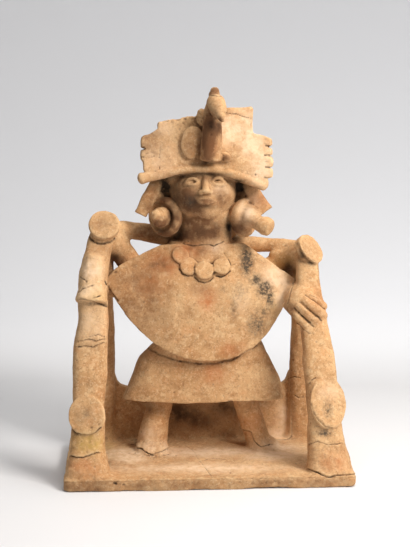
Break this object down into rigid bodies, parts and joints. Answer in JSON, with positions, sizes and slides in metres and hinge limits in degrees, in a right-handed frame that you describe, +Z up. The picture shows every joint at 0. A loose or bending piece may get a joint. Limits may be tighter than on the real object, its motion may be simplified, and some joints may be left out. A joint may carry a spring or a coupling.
{
  "type": "terracotta figure",
  "caption": "Standing terracotta figure in a bell-shaped cape, skirt and stepped headdress with a bird, holding the leaning posts of a frame that rises from its slab base.",
  "frame": {"origin": "middle of the slab base's underside", "axes": "+X to the viewer's right, +Y to the figure's back, +Z up"},
  "size_m": [0.268, 0.15, 0.362],
  "materials": {
    "terracotta": "unglazed fired clay, matt, with burial stains and dark bitumen-like patches"
  },
  "bodies": {
    "root": {"terracotta_figure": "terracotta"}
  },
  "joints": []
}
